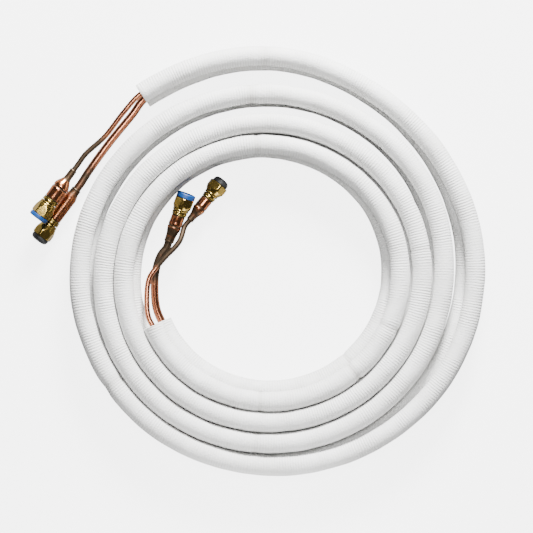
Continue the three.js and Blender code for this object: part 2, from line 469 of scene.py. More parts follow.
def centre_line(name: str, points: np.ndarray, values: dict[str, np.ndarray], axis: Vector) -> Object:
    """An object whose edges are a route, for a swept piece to follow.

    Args:
        name: The object's name.
        points: The route about the coil's axis, in millimetres.
        values: A number for each point, by attribute.
        axis: Where the coil's axis stands in the frame, in metres.

    Returns:
        The object.
    """
    mesh = bpy.data.meshes.new(name)
    placed = points * MM + np.array(axis)
    edges = [(index, index + 1) for index in range(len(points) - 1)]
    mesh.from_pydata(placed.tolist(), edges, [])
    for key, numbers in values.items():
        mesh.attributes.new(key, "FLOAT", "POINT").data.foreach_set("value", numbers.astype(np.float32))
    return shown(name, mesh)


def sweep_tree() -> NodeTree:
    """The Geometry Nodes tree that sweeps a soft or hard pipe along its centre line.

    Returns:
        The tree, whose inputs are the pipe's sizes, its unevenness and its finish.
    """
    sheet, given, out = start_tree(
        "swept_pipe",
        (
            ("Route", "Geometry"), ("Radius", "Float"), ("Sides", "Int"), ("Close Ends", "Bool"),
            ("Unevenness", "Float"), ("Lumps Per Metre", "Float"), ("Crease Depth", "Float"),
            ("Seed", "Int"), ("Finish", "Material"),
        ),
        (("Pipe", "Geometry"),),
        "GeometryNodeTree",
    )
    route = sheet.add("GeometryNodeMeshToCurve", {"Mesh": given["Route"]}).outputs["Curve"]
    level = sheet.add("GeometryNodeSetCurveNormal", {"Curve": route}, mode="Z_UP").outputs["Curve"]
    travel = sheet.add("GeometryNodeCaptureAttribute", {"Geometry": level}, domain="POINT")
    travel.capture_items.new("FLOAT", "Travel")
    sheet.fill(travel, {"Travel": sheet.add("GeometryNodeSplineParameter").outputs["Length"]})

    ring_inputs = {"Resolution": given["Sides"], "Radius": given["Radius"]}
    ring = sheet.add("GeometryNodeCurvePrimitiveCircle", ring_inputs, mode="RADIUS").outputs["Curve"]
    section = sheet.add("GeometryNodeCaptureAttribute", {"Geometry": ring}, domain="POINT")
    section.capture_items.new("VECTOR", "Section")
    sheet.fill(section, {"Section": sheet.add("GeometryNodeInputPosition").outputs[0]})

    swept = sheet.add(
        "GeometryNodeCurveToMesh",
        {
            "Curve": travel.outputs["Geometry"], "Profile Curve": section.outputs["Geometry"],
            "Fill Caps": given["Close Ends"],
        },
    ).outputs["Mesh"]
    split = sheet.add("ShaderNodeSeparateXYZ", {0: section.outputs["Section"]}).outputs
    straight = sheet.add(
        "ShaderNodeCombineXYZ", {"X": split["X"], "Y": split["Y"], "Z": travel.outputs["Travel"]}
    ).outputs[0]
    marked = sheet.add(
        "GeometryNodeStoreNamedAttribute",
        {"Geometry": swept, "Name": STRAIGHT, "Value": straight},
        data_type="FLOAT_VECTOR", domain="POINT",
    ).outputs["Geometry"]

    lumps = sheet.add(
        "ShaderNodeTexNoise",
        {"Vector": straight, "Scale": given["Lumps Per Metre"], "W": given["Seed"], "Detail": 2.0},
        noise_dimensions="4D",
    ).outputs[0]
    level = 0.62
    swell = sheet.math("MULTIPLY", sheet.math("SUBTRACT", lumps, level), given["Unevenness"])
    crease = sheet.add("GeometryNodeInputNamedAttribute", {"Name": CREASE}, data_type="FLOAT").outputs[0]
    pinch = sheet.math("MULTIPLY", crease, given["Crease Depth"])
    shift = sheet.math("SUBTRACT", sheet.math("MINIMUM", swell, 0.0), pinch)
    outward = sheet.add("GeometryNodeInputNormal").outputs[0]
    uneven = sheet.add(
        "GeometryNodeSetPosition",
        {"Geometry": marked, "Offset": sheet.vector("SCALE", outward, (0, 0, 0), (0, 0, 0), shift)},
    ).outputs["Geometry"]

    place = sheet.add("GeometryNodeInputPosition").outputs[0]
    never_below = (-1e3, -1e3, 0.0)
    resting = {"Geometry": uneven, "Position": sheet.vector("MAXIMUM", place, never_below)}
    rested = sheet.add("GeometryNodeSetPosition", resting).outputs["Geometry"]
    smooth = sheet.add("GeometryNodeSetShadeSmooth", {"Geometry": rested}).outputs["Geometry"]
    whole = sheet.add("GeometryNodeRealizeInstances", {"Geometry": smooth}).outputs["Geometry"]
    dressed = sheet.add("GeometryNodeSetMaterial", {"Geometry": whole, "Material": given["Finish"]})
    sheet.fill(out, {"Pipe": dressed.outputs["Geometry"]})
    return sheet.tree


def swept(route: Object, tree: NodeTree, values: dict[str, Any]) -> Object:
    """Sweeps a pipe along a route and makes the result a plain mesh.

    Args:
        route: The object that holds the route's edges.
        tree: The Geometry Nodes tree.
        values: The tree's inputs by name.

    Returns:
        The same object, with the pipe as its mesh.
    """
    modifier = route.modifiers.new("sweep", "NODES")
    modifier.node_group = tree
    for item in tree.interface.items_tree:
        if item.in_out == "INPUT" and item.name in values:
            modifier[item.identifier] = values[item.name]
    graph = bpy.context.evaluated_depsgraph_get()
    mesh = bpy.data.meshes.new_from_object(
        route.evaluated_get(graph), preserve_all_data_layers=True, depsgraph=graph
    )
    route.modifiers.clear()
    edges = route.data
    route.data = mesh
    bpy.data.meshes.remove(edges)
    mesh.name = route.name
    return route


@dataclass(frozen=True)
class Crease:
    """A place where a bent sleeve has buckled a little."""

    angle: float
    depth: float
    width: float


@dataclass(frozen=True)
class FoamSleeve:
    """One white foam sleeve along the whole coil, cut square at both ends."""

    line: Line
    bore_radius: float
    creases: tuple[Crease, ...]
    seed: int
    radius: float = 12.0
    sides: int = 40
    every: float = 1.25
    unevenness: float = 2.4
    lumps_per_metre: float = 26.0
    bore_depth: float = 22.0
    rim_round: float = 0.9
    crease_depth: float = 2.0

    def build(self, winding: Winding, axis: Vector, tree: NodeTree, finish: Material) -> Object:
        """Makes the sleeve.

        Args:
            winding: The route that it follows.
            axis: Where the coil's axis stands in the frame.
            tree: The tree that sweeps it.
            finish: Its material.

        Returns:
            The sleeve's object.
        """
        angles, points = winding.sleeve_route(self.line, self.every)
        pinch = np.zeros(len(angles))
        for crease in self.creases:
            pinch += crease.depth * np.exp(-(((angles - crease.angle) / crease.width) ** 2))
        made = centre_line(f"{self.line.value}_sleeve", points, {CREASE: pinch}, axis)
        swept(
            made, tree,
            {
                "Radius": self.radius * MM, "Sides": self.sides, "Close Ends": False,
                "Unevenness": self.unevenness * MM, "Lumps Per Metre": self.lumps_per_metre,
                "Crease Depth": self.crease_depth * MM, "Seed": self.seed, "Finish": finish,
            },
        )
        self.cut_ends(made.data)
        return made

    def cut_ends(self, mesh: Mesh) -> None:
        """Closes both open ends with a cut face, a rounded rim and a bore for the copper.

        Args:
            mesh: The swept skin.
        """
        shaped = bmesh.new()
        shaped.from_mesh(mesh)
        straight = shaped.verts.layers.float_vector[STRAIGHT]
        rim = [edge for edge in shaped.edges if edge.is_boundary]
        middle_travel = max(vert[straight].z for vert in shaped.verts) / 2
        for at_start in (True, False):
            edges = [edge for edge in rim if (edge.verts[0][straight].z < middle_travel) == at_start]
            self.cut_end(shaped, edges, straight)
        written(shaped, mesh)

    def cut_end(self, shaped: bmesh.types.BMesh, edges: list, straight: Any) -> None:
        """Closes one end of the sleeve.

        Args:
            shaped: The sleeve.
            edges: The edges round the open end.
            straight: The layer that holds each point's straightened place.
        """
        ring = {vert for edge in edges for vert in edge.verts}
        centre = sum((vert.co for vert in ring), Vector()) / len(ring)
        neighbours = {edge.other_vert(vert) for vert in ring for edge in vert.link_edges} - ring
        behind = sum((vert.co for vert in neighbours), Vector()) / len(neighbours)
        outward = (centre - behind).normalized()
        radius = self.radius * MM
        bore = self.bore_radius * MM
        rounding = self.rim_round * MM
        steps = (
            (radius - 0.3 * rounding, 0.45 * rounding),
            (radius - 0.9 * rounding, 0.75 * rounding),
            (radius - 1.9 * rounding, 0.8 * rounding),
            ((radius + bore) / 2, 0.7 * rounding),
            (bore + 0.5 * rounding, 0.75 * rounding),
            (bore, 0.3 * rounding),
            (bore, -self.bore_depth * MM),
        )
        for reach, shift in steps:
            grown = bmesh.ops.extrude_edge_only(shaped, edges=edges)["geom"]
            edges = [item for item in grown if isinstance(item, bmesh.types.BMEdge)]
            for vert in (item for item in grown if isinstance(item, bmesh.types.BMVert)):
                spoke = vert.co - centre
                spoke -= outward * spoke.dot(outward)
                share = reach / spoke.length
                vert[straight].xy = vert[straight].xy * share
                vert.co = centre + spoke * share + outward * shift
                vert.co.z = max(vert.co.z, 0.0)
        bmesh.ops.edgeloop_fill(shaped, edges=edges)


@dataclass(frozen=True)
class CouplingSizes:
    """The lengths and radii of one coupling, in millimetres, counted back from its nut's front face."""

    end: End
    cap_style: CapStyle
    line_diameter: float
    hex_turn: float
    nut_length: float
    collar_length: float
    collar_radius: float
    barrel_radius: float
    barrel_length: float
    shoulder_length: float
    cup_radius: float
    cup_length: float
    cap_radius: float
    cap_length: float
    beads: tuple[tuple[float, float, float], ...]
    swivel_clearance: float = 0.6
    braze_clearance: float = 0.4

    @property
    def collar_front(self) -> float:
        """How far back the collar starts."""
        return self.nut_length + self.swivel_clearance

    @property
    def collar_rear(self) -> float:
        """How far back the collar ends."""
        return self.collar_front + self.collar_length

    @property
    def barrel_front(self) -> float:
        """How far back the copper barrel starts."""
        return self.collar_rear + self.braze_clearance

    @property
    def shoulder_front(self) -> float:
        """How far back the shoulder starts to narrow."""
        return self.barrel_front + self.barrel_length

    @property
    def cup_front(self) -> float:
        """How far back the cup round the line starts."""
        return self.shoulder_front + self.shoulder_length

    @property
    def cup_rear(self) -> float:
        """How far back the whole coupling ends."""
        return self.cup_front + self.cup_length


@dataclass(frozen=True)
class Tail:
    """The bare copper between a coupling and its sleeve, and how dark it has become."""

    end: End
    from_nut: tuple[tuple[float, float, float], ...]
    from_sleeve: tuple[tuple[float, float, float], ...]
    dark_length: float
    fade_length: float
    darkness: float
    lead: float = 8.0
    next_angle: float = 15.0
    per_span: int = 10

    def route(
        self, sizes: CouplingSizes, face: np.ndarray, heading: np.ndarray, winding: Winding
    ) -> np.ndarray:
        """The tail's points, from the coupling to its sleeve's end.

        Args:
            sizes: The coupling that it starts in.
            face: The middle of that coupling's front face, about the coil's axis.
            heading: The way that the coupling points.
            winding: The coil that it runs into.

        Returns:
            The points about the coil's axis, in millimetres.
        """
        inner = self.end in (End.INNER_SUCTION, End.INNER_LIQUID)
        angle = winding.sleeve_start if inner else winding.sleeve_end
        beyond = angle + self.next_angle if inner else angle - self.next_angle
        cut_end = winding.sleeve_point(self.end.line, angle)
        guide = np.array(
            [
                face - heading * sizes.cup_rear,
                face - heading * (sizes.cup_rear + self.lead),
                *(face + np.array(point) for point in self.from_nut),
                *(cut_end + np.array(point) for point in self.from_sleeve),
                cut_end,
                winding.sleeve_point(self.end.line, beyond),
            ]
        )
        return np.vstack((face - heading * sizes.cup_front, guided_curve(guide, self.per_span)))

    def tarnish(self, points: np.ndarray) -> np.ndarray:
        """How dark the copper is at each of the tail's points.

        Args:
            points: The tail's points, from the coupling.

        Returns:
            A number from 0 to 1 for each point.
        """
        steps = np.linalg.norm(np.diff(points, axis=0), axis=1)
        travel = np.concatenate(((0.0,), np.cumsum(steps)))
        faded = np.clip((travel - self.dark_length) / self.fade_length, 0, 1)
        return self.darkness * (1 - eased(faded))


@dataclass(frozen=True)
class CopperLine:
    """One copper line: its inner tail, its turns inside the sleeve, and its outer tail."""

    line: Line
    diameter: float
    inner: Tail
    outer: Tail
    sides: int = 24
    every: float = 4.0

    def build(
        self,
        couplings: dict[End, Coupling],
        winding: Winding,
        axis: Vector,
        tree: NodeTree,
        finish: Material,
    ) -> Object:
        """Makes the line.

        Args:
            couplings: The four couplings by their ends.
            winding: The coil that the line is wound in.
            axis: Where the coil's axis stands in the frame.
            tree: The tree that sweeps it.
            finish: Its material.

        Returns:
            The line's object.
        """
        ways = []
        darks = []
        for tail in (self.inner, self.outer):
            coupling = couplings[tail.end]
            face = (np.array(coupling.face) - np.array(axis)) / MM
            way = tail.route(coupling.sizes, face, np.array(coupling.heading), winding)
            ways.append(way)
            darks.append(tail.tarnish(way))
        coil = winding.sleeve_route(self.line, self.every)[1][1:-1]
        points = np.vstack((ways[0], coil, ways[1][::-1]))
        tarnish = np.concatenate((darks[0], np.zeros(len(coil)), darks[1][::-1]))
        lengths = np.linalg.norm(np.diff(points, axis=0), axis=1)
        LOG.info("%s line: %.2f m of copper", self.line.value, lengths.sum() * MM)
        made = centre_line(f"{self.line.value}_line", points, {TARNISH: tarnish}, axis)
        sizes = {"Radius": self.diameter / 2 * MM, "Sides": self.sides}
        return swept(made, tree, {**sizes, "Close Ends": True, "Finish": finish})


@dataclass(frozen=True)
class Knot:
    """A corner of a turned piece's outline."""

    radius: float
    behind: float
    fillet: float = 0.0
    tarnish: float = 0.0


def rounded_outline(knots: Sequence[Knot], closed: bool, arc_steps: int = 4) -> list[Knot]:
    """An outline with its corners rounded.

    Args:
        knots: The outline's corners.
        closed: Whether the last corner joins the first.
        arc_steps: How many steps each rounded corner has.

    Returns:
        The outline's points, as corners without a fillet.
    """
    made = []
    count = len(knots)
    for index, knot in enumerate(knots):
        at_end = not closed and index in (0, count - 1)
        if at_end or knot.fillet <= 0:
            made.append(knot)
            continue
        corner = np.array((knot.radius, knot.behind))
        legs = []
        for other in (knots[index - 1], knots[(index + 1) % count]):
            leg = np.array((other.radius, other.behind)) - corner
            reach = min(knot.fillet, FILLET_LIMIT * float(np.linalg.norm(leg)))
            legs.append(corner + leg / np.linalg.norm(leg) * reach)
        for step in range(arc_steps + 1):
            share = step / arc_steps
            point = (1 - share) ** 2 * legs[0] + 2 * share * (1 - share) * corner + share**2 * legs[1]
            made.append(Knot(float(point[0]), float(point[1]), 0.0, knot.tarnish))
    return made


def finely_stepped(knots: Sequence[Knot], closed: bool, step: float) -> list[Knot]:
    """An outline with points added along its long runs.

    Args:
        knots: The outline.
        closed: Whether the last point joins the first.
        step: The longest run left, in millimetres.

    Returns:
        The finer outline.
    """
    made = []
    for knot, after in runs(knots, closed):
        run = math.hypot(after.radius - knot.radius, after.behind - knot.behind)
        count = max(1, math.ceil(run / step))
        for index in range(count):
            share = index / count
            made.append(
                Knot(
                    knot.radius + (after.radius - knot.radius) * share,
                    knot.behind + (after.behind - knot.behind) * share,
                    0.0,
                    knot.tarnish + (after.tarnish - knot.tarnish) * share,
                )
            )
    if not closed:
        made.append(knots[-1])
    return made


@dataclass(frozen=True)
class Hexagon:
    """The flats that are cut on a turned nut."""

    apothem: float
    turn: float
    softness: float = 0.1

    def limit(self, radius: float, angle: float) -> float:
        """A turned radius after the flats are cut.

        Args:
            radius: The turned radius.
            angle: Degrees round the nut.

        Returns:
            The radius that is left, with a soft edge between flat and turned face.
        """
        off_flat = math.radians((angle - self.turn) % 60 - 30)
        flat = self.apothem / math.cos(off_flat)
        nearer = min(radius, flat)
        apart = abs(radius - flat)
        return nearer - self.softness * math.log1p(math.exp(-apart / self.softness))


def turned_piece(
    name: str, outline: Sequence[Knot], closed: bool, sides: int, hexagon: Hexagon | None = None
) -> Mesh:
    """A turned mesh about the Y axis, in metres, whose front looks along +Y.

    Args:
        name: The mesh's name.
        outline: Its outline, from the axis to the axis where it isn't closed.
        closed: Whether the outline is a loop, as on a hollow piece.
        sides: How many faces go round it.
        hexagon: Flats to cut on it.

    Returns:
        The mesh, with its straightened place and its tarnish at each point.
    """
    shaped = bmesh.new()
    straight = shaped.verts.layers.float_vector.new(STRAIGHT)
    tarnish = shaped.verts.layers.float.new(TARNISH)
    rings = []
    for knot in outline:
        on_axis = knot.radius < AXIS_TOLERANCE
        ring = []
        for index in range(1 if on_axis else sides):
            angle = 360 * index / sides
            radius = knot.radius if hexagon is None else hexagon.limit(knot.radius, angle)
            across = radius * math.sin(math.radians(angle))
            along = radius * math.cos(math.radians(angle))
            vert = shaped.verts.new((across * MM, -knot.behind * MM, along * MM))
            vert[straight] = Vector((across * MM, along * MM, knot.behind * MM))
            vert[tarnish] = knot.tarnish
            ring.append(vert)
        rings.append(ring if len(ring) > 1 else ring * sides)
    for ring, after in runs(rings, closed):
        for index in range(sides):
            beside = (index + 1) % sides
            corners = (ring[index], ring[beside], after[beside], after[index])
            shaped.faces.new(list(dict.fromkeys(corners)))
    return written(shaped, bpy.data.meshes.new(name))


@dataclass
class Coupling:
    """One end of the set: spun copper adapter, brass body, union nut and plastic cap."""

    sizes: CouplingSizes
    face: Vector
    heading: Vector
    nut_across_flats: float = 22.0
    nut_radius: float = 12.3
    nut_mouth_radius: float = 11.4
    nut_chamfer: float = 1.2
    nut_hex_length: float = 7.5
    cavity_radius: float = 9.3
    cavity_depth: float = 10.5
    rear_step: float = 0.5
    neck_inset: float = 2.6
    wall: float = 1.0
    spigot_length: float = 5.0
    flange_thickness: float = 2.0
    sides: int = 64
    hex_sides: int = 144
    adapter_step: float = 1.2
    nut_step: float = 0.45

    def turned(
        self,
        name: str,
        outline: Sequence[Knot],
        finish: Material,
        closed: bool = True,
        step: float = 0.0,
        hexagon: Hexagon | None = None,
    ) -> Object:
        """Turns a piece and puts it where the coupling is.

        Args:
            name: The piece's name, without the end's.
            outline: Its corners.
            finish: Its material.
            closed: Whether the outline is a loop.
            step: The longest run left in the outline, or 0 to leave them all.
            hexagon: Flats to cut on it.

        Returns:
            The piece's object, at the origin with its place in its mesh.
        """
        fine = rounded_outline(outline, closed)
        if step:
            fine = finely_stepped(fine, closed, step)
        mesh = turned_piece(name, fine, closed, self.hex_sides if hexagon else self.sides, hexagon)
        mesh.transform(Vector((0, 1, 0)).rotation_difference(self.heading).to_matrix().to_4x4())
        for vert in mesh.vertices:
            vert.co += self.face
        mesh.materials.append(finish)
        return shown(f"{self.sizes.end.value}_{name}", mesh)

    def adapter(self, finish: Material) -> Object:
        """Makes the spun copper adapter.

        Args:
            finish: Its material.

        Returns:
            The adapter's object.
        """
        s = self.sizes
        cup_bore = s.line_diameter / 2 + s.braze_clearance * 0.4
        barrel_bore = s.barrel_radius - self.wall
        outline = [
            Knot(cup_bore, s.cup_rear - 0.2, 0.1, 1.0),
            Knot(cup_bore + 0.5, s.cup_rear + 0.1, 0.3, 1.0),
            Knot(s.cup_radius + 0.1, s.cup_rear - 0.9, 0.4, 1.0),
            Knot(s.cup_radius - 0.1, s.cup_rear - 2.4, 0.6, 0.9),
            Knot(s.cup_radius, s.cup_front + 0.4 * s.cup_length, 0.6, 0.8),
            Knot(s.cup_radius, s.cup_front + 0.6, 2.5, 0.75),
        ]
        for share, bulge, dark in s.beads:
            behind = s.barrel_front + share * (s.barrel_length + s.shoulder_length)
            outline.append(Knot(self.adapter_radius(behind) + bulge, behind, 0.7, dark))
        outline += [
            Knot(s.barrel_radius, s.barrel_front + 1.1, 0.0, 0.2),
            Knot(s.barrel_radius - 0.1, s.barrel_front, 0.35, 1.2),
            Knot(barrel_bore, s.barrel_front, 0.2, 0.6),
            Knot(barrel_bore, s.shoulder_front, 0.0, 0.6),
            Knot(cup_bore, s.cup_front, 0.0, 0.6),
        ]
        return self.turned("spun_adapter", outline, finish, step=self.adapter_step)

    def adapter_radius(self, behind: float) -> float:
        """The adapter's outer radius before its beads and grooves.

        Args:
            behind: How far behind the nut's face.

        Returns:
            The radius in millimetres.
        """
        s = self.sizes
        share = min(max((behind - s.shoulder_front) / s.shoulder_length, 0), 1)
        return s.barrel_radius + (s.cup_radius - s.barrel_radius) * eased(share)

    def brass_body(self, finish: Material) -> Object:
        """Makes the brass body, with its grooved collar.

        Args:
            finish: Its material.

        Returns:
            The body's object.
        """
        s = self.sizes
        neck = s.collar_radius - self.neck_inset
        spigot = s.barrel_radius - self.wall - s.braze_clearance
        bore = s.line_diameter / 2
        flange = self.cavity_radius - s.swivel_clearance
        flange_rear = self.cavity_depth - s.swivel_clearance
        groove = s.collar_rear - 0.35 * s.collar_length
        outline = [
            Knot(bore, s.collar_rear + self.spigot_length),
            Knot(spigot, s.collar_rear + self.spigot_length),
            Knot(spigot, s.collar_rear),
            Knot(s.barrel_radius + 0.1, s.collar_rear, 0.2, 1.2),
            Knot(s.collar_radius - 0.2, s.collar_rear - 0.4, 0.4, 0.5),
            Knot(s.collar_radius - 0.1, groove + 0.5, 0.25, 0.2),
            Knot(s.collar_radius - 0.7, groove, 0.25, 1.0),
            Knot(s.collar_radius, groove - 0.5, 0.25, 0.1),
            Knot(s.collar_radius, s.collar_front + 0.1, 0.5, 0.1),
            Knot(s.collar_radius - 0.9, s.collar_front, 0.2, 1.2),
            Knot(neck, s.collar_front, 0.0, 1.0),
            Knot(neck, flange_rear),
            Knot(flange, flange_rear),
            Knot(flange, flange_rear - self.flange_thickness),
            Knot(bore, flange_rear - self.flange_thickness),
        ]
        return self.turned("brass_body", outline, finish)

    def union_nut(self, finish: Material) -> Object:
        """Makes the hexagon nut that tapers to a round rear.

        Args:
            finish: Its material.

        Returns:
            The nut's object.
        """
        s = self.sizes
        rear = s.collar_radius + self.rear_step
        lip_bore = s.collar_radius - self.neck_inset + s.swivel_clearance
        outline = [
            Knot(lip_bore, s.nut_length, 0.3, 1.2),
            Knot(rear - 0.6, s.nut_length, 0.4, 1.1),
            Knot(rear, s.nut_length - 0.6, 0.4, 0.1),
            Knot(rear + 0.1, s.nut_length - 2.0, 0.3, 0.1),
            Knot(rear - 0.35, s.nut_length - 2.5, 0.3, 0.9),
            Knot(rear + 0.2, s.nut_length - 3.0, 0.3, 0.2),
            Knot(self.nut_radius, self.nut_hex_length, 1.6, 0.0),
            Knot(self.nut_radius, self.nut_chamfer, 0.3, 0.0),
            Knot(self.nut_mouth_radius, 0.0, 0.3, 0.9),
            Knot(self.cavity_radius, 0.0, 0.4, 1.2),
            Knot(self.cavity_radius, self.cavity_depth, 0.0, 0.8),
            Knot(lip_bore, self.cavity_depth, 0.0, 0.8),
        ]
        hexagon = Hexagon(self.nut_across_flats / 2, s.hex_turn)
        return self.turned("nut", outline, finish, step=self.nut_step, hexagon=hexagon)

    def end_cap(self, finish: Material) -> Object:
        """Makes the plastic cap: blue with a rim round a shallow recess, or grey and domed.

        Args:
            finish: Its material.

        Returns:
            The cap's object.
        """
        s = self.sizes
        plug = self.cavity_radius - 0.4
        front = -s.cap_length
        outline = [
            Knot(0.0, 4.0),
            Knot(plug - 1.0, 4.0, 0.3),
            Knot(plug, 3.0, 0.3),
            Knot(plug, -0.4),
            Knot(s.cap_radius - 0.3, -0.4, 0.25, 0.5),
            Knot(s.cap_radius, -0.8, 0.3, 0.2),
        ]
        if s.cap_style is CapStyle.BLUE:
            outline += [
                Knot(s.cap_radius - 0.15, front + 1.0, 0.5, 0.1),
                Knot(s.cap_radius - 1.2, front, 0.7, 0.1),
                Knot(s.cap_radius - 3.1, front, 0.4, 0.1),
                Knot(s.cap_radius - 3.7, front + 0.9, 0.3, 0.4),
                Knot(2.2, front + 0.9, 0.3, 0.2),
                Knot(1.6, front + 0.5, 0.3, 0.1),
                Knot(0.0, front + 0.5),
            ]
        else:
            outline += [
                Knot(s.cap_radius - 0.2, front + 0.55 * s.cap_length, 0.6, 0.1),
                Knot(s.cap_radius - 1.4, front + 0.22 * s.cap_length, 1.4, 0.1),
                Knot(s.cap_radius - 4.0, front + 0.3, 2.0, 0.1),
                Knot(1.8, front, 0.6, 0.1),
                Knot(1.3, front + 0.35, 0.2, 0.3),
                Knot(0.0, front + 0.35),
            ]
        return self.turned("end_cap", outline, finish, closed=False)


class Effects:
    """The shader node groups that more than one finish uses."""

    def __init__(self) -> None:
        """Builds each group once."""
        self.patina = self.make_patina()
        self.marks = self.make_marks()
        self.grain = self.make_grain()

    @staticmethod
    def make_patina() -> NodeTree:
        """The darkening of bare metal in air and under the flame.

        Returns:
            The group.
        """
        sheet, given, out = start_tree(
            "patina",
            (
                ("Place", "Vector"), ("Clean", "Color"), ("Warm", "Color"), ("Dark", "Color"),
                ("Tarnish", "Float"), ("Blotches Per Metre", "Float"), ("Smooth", "Float"),
                ("Rough", "Float"),
            ),
            (("Colour", "Color"), ("Roughness", "Float")),
        )
        blotch = sheet.noise(given["Place"], given["Blotches Per Metre"], detail=5.0, roughness=0.62)
        finer = sheet.math("MULTIPLY", given["Blotches Per Metre"], 3.7)
        speck = sheet.noise(given["Place"], finer, detail=3.0)
        warmth = sheet.ramp(speck, 0.42, 0.66, 0.0, 1.0)
        base = sheet.mix(warmth, given["Clean"], given["Warm"])
        spread = sheet.math("MULTIPLY_ADD", sheet.math("SUBTRACT", blotch, 0.5), 1.6, given["Tarnish"])
        dark = sheet.ramp(spread, 0.12, 0.85, 0.0, 1.0)
        colour = sheet.mix(dark, base, given["Dark"])
        lift = sheet.math("SUBTRACT", given["Rough"], given["Smooth"])
        rough = sheet.math("MULTIPLY_ADD", dark, lift, given["Smooth"])
        sheet.fill(out, {"Colour": colour, "Roughness": rough})
        return sheet.tree

    @staticmethod
    def make_marks() -> NodeTree:
        """The fine lines that drawing, turning and handling leave.

        Returns:
            The group.
        """
        sheet, given, out = start_tree(
            "handling_marks",
            (("Place", "Vector"), ("Stretch", "Vector"), ("Lines Per Metre", "Float")),
            (("Height", "Float"), ("Mask", "Float")),
        )
        drawn = sheet.vector("MULTIPLY", given["Place"], given["Stretch"])
        lines = sheet.noise(drawn, given["Lines Per Metre"], detail=4.0, roughness=0.7)
        scuffs = sheet.noise(given["Place"], 210.0, detail=6.0, roughness=0.75)
        mask = sheet.ramp(scuffs, 0.54, 0.68, 0.0, 1.0)
        height = sheet.math("MULTIPLY_ADD", mask, -0.35, lines)
        sheet.fill(out, {"Height": height, "Mask": mask})
        return sheet.tree

    @staticmethod
    def make_grain() -> NodeTree:
        """The small cells and pits of foam and moulded plastic.

        Returns:
            The group.
        """
        sheet, given, out = start_tree(
            "fine_grain",
            (("Place", "Vector"), ("Cells Per Metre", "Float"), ("Softness", "Float")),
            (("Height", "Float"),),
        )
        cells = sheet.add(
            "ShaderNodeTexVoronoi",
            {"Vector": given["Place"], "Scale": given["Cells Per Metre"], "Smoothness": given["Softness"]},
            feature="SMOOTH_F1",
        ).outputs["Distance"]
        coarse = sheet.math("MULTIPLY", given["Cells Per Metre"], 0.3)
        drift = sheet.noise(given["Place"], coarse, detail=2.0)
        height = sheet.math("ADD", cells, drift)
        sheet.fill(out, {"Height": height})
        return sheet.tree


def new_finish(name: str, view_colour: RGBA) -> tuple[Material, NodeSheet, Node]:
    """Starts a material with a Principled shader on its output.

    Args:
        name: The material's name.
        view_colour: Its plain colour in the viewport.

    Returns:
        The material, its sheet and its shader.
    """
    material = bpy.data.materials.new(name)
    material.use_nodes = True
    material.diffuse_color = view_colour
    material.node_tree.nodes.clear()
    sheet = NodeSheet(material.node_tree)
    shader = sheet.add("ShaderNodeBsdfPrincipled")
    sheet.add("ShaderNodeOutputMaterial", {"Surface": shader.outputs[0]})
    return material, sheet, shader


def attribute(sheet: NodeSheet, name: str, output: str) -> NodeSocket:
    """A mesh attribute in a material.

    Args:
        sheet: The material's sheet.
        name: The attribute.
        output: "Vector" or "Fac".

    Returns:
        The attribute's output.
    """
    return sheet.add("ShaderNodeAttribute", attribute_name=name).outputs[output]


@dataclass(frozen=True)
class FoamFinish:
    """White foam with a fine embossed skin, and painted shade in its rib grooves and creases."""

    name: str = "white_foam"
    light: RGBA = (0.74, 0.74, 0.73, 1.0)
    shade: RGBA = (0.68, 0.675, 0.66, 1.0)
    # The colour that is painted into the rib grooves and the creases as shade.
    painted_shade: RGBA = (0.42, 0.40, 0.37, 1.0)
    rib_shade: float = 0.14
    emboss_period: float = 3.2
    emboss_depth: float = 0.4
    cells_per_metre: float = 900.0
    wavers_per_metre: float = 60.0
    waver_depth: float = 2.5
    fades_per_metre: float = 35.0
    clouds_per_metre: float = 18.0
    grain_share: float = 0.9
    rib_share: float = 0.5
    # How strongly painted shade darkens the creases.
    crease_painted_shade: float = 0.75
    roughness: float = 0.62

    def build(self, effects: Effects) -> Material:
        """Makes the material.

        Args:
            effects: The shared node groups.

        Returns:
            The material.
        """
        material, sheet, shader = new_finish(self.name, self.light)
        straight = attribute(sheet, STRAIGHT, "Vector")
        crease = attribute(sheet, CREASE, "Fac")
        waver = sheet.noise(straight, self.wavers_per_metre, detail=2.0)
        along = sheet.add("ShaderNodeSeparateXYZ", {0: straight}).outputs["Z"]
        wavy = sheet.math("MULTIPLY_ADD", waver, self.waver_depth * MM, along)
        ribs = sheet.math("SINE", sheet.math("MULTIPLY", wavy, 2 * math.pi / (self.emboss_period * MM)))
        fading = sheet.noise(straight, self.fades_per_metre, detail=2.0)
        fade = sheet.ramp(fading, 0.38, 0.62, 0.25, 1.0)
        skin = {"Place": straight, "Cells Per Metre": self.cells_per_metre, "Softness": 0.4}
        grain = sheet.add("ShaderNodeGroup", skin, node_tree=effects.grain)
        ribbed = sheet.math("MULTIPLY", sheet.math("MULTIPLY", ribs, fade), self.rib_share)
        height = sheet.math("MULTIPLY", grain.outputs["Height"], self.grain_share)
        height = sheet.math("ADD", ribbed, height)
        relief = {"Strength": 1.0, "Distance": self.emboss_depth * MM, "Height": height}
        bump = sheet.add("ShaderNodeBump", relief)
        clouds = sheet.noise(straight, self.clouds_per_metre, detail=4.0)
        cloud = sheet.ramp(clouds, 0.35, 0.68, 0.0, 1.0)
        clouded = sheet.mix(cloud, self.light, self.shade)
        # Painted shade: the grooves between the embossed ribs are darkened towards the painted shade
        # colour, up to rib_shade.
        painted_rib_shade = sheet.ramp(ribbed, -0.5, 0.1, self.rib_shade, 0.0)
        colour = sheet.mix(painted_rib_shade, clouded, self.painted_shade)
        # Painted shade: the creases are darkened towards the painted shade colour, by the crease
        # attribute.
        buckled = sheet.math("MULTIPLY", crease, self.crease_painted_shade, clamp=True)
        marked = sheet.mix(buckled, colour, self.painted_shade)
        sheet.fill(
            shader,
            {
                "Base Color": marked, "Normal": bump.outputs[0], "Roughness": self.roughness,
                "Specular IOR Level": 0.35, "Sheen Weight": 0.15, "Sheen Roughness": 0.5,
            },
        )
        return material


